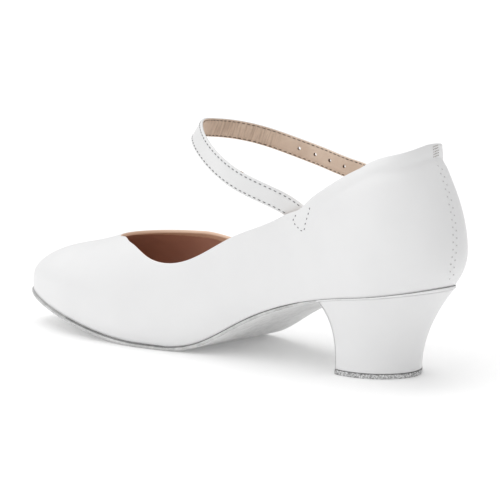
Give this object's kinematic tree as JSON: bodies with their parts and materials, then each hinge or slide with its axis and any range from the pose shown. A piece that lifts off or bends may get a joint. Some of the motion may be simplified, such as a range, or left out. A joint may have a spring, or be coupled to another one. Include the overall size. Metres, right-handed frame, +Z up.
{
  "type": "character shoe",
  "caption": "Closed, round-toed dance or stage shoe with a smooth upper, a block heel and a buckled strap over the instep; it stands on heel and ball.",
  "frame": {"origin": "middle of the shoe's footprint, on the floor it stands on", "axes": "+X towards the toe along the shoe's length, +Y towards the inner (big toe) side, +Z up"},
  "size_m": [0.2466, 0.0772, 0.1061],
  "materials": {
    "white_leather": "smooth, lightly glossed",
    "tan_lining": "matt lining leather",
    "grey_suede": "rough suede",
    "heel_cover": "smooth cover over a moulded block",
    "top_piece_rubber": "matt",
    "buckle_metal": "polished plating"
  },
  "bodies": {
    "root": {"upper": "white_leather", "insole": "tan_lining", "outsole": "grey_suede", "heel": "heel_cover", "heel_top_piece": "top_piece_rubber", "strap": "white_leather", "buckle_frame": "buckle_metal", "buckle_prong": "buckle_metal", "buckle_tab": "white_leather"}
  },
  "joints": []
}
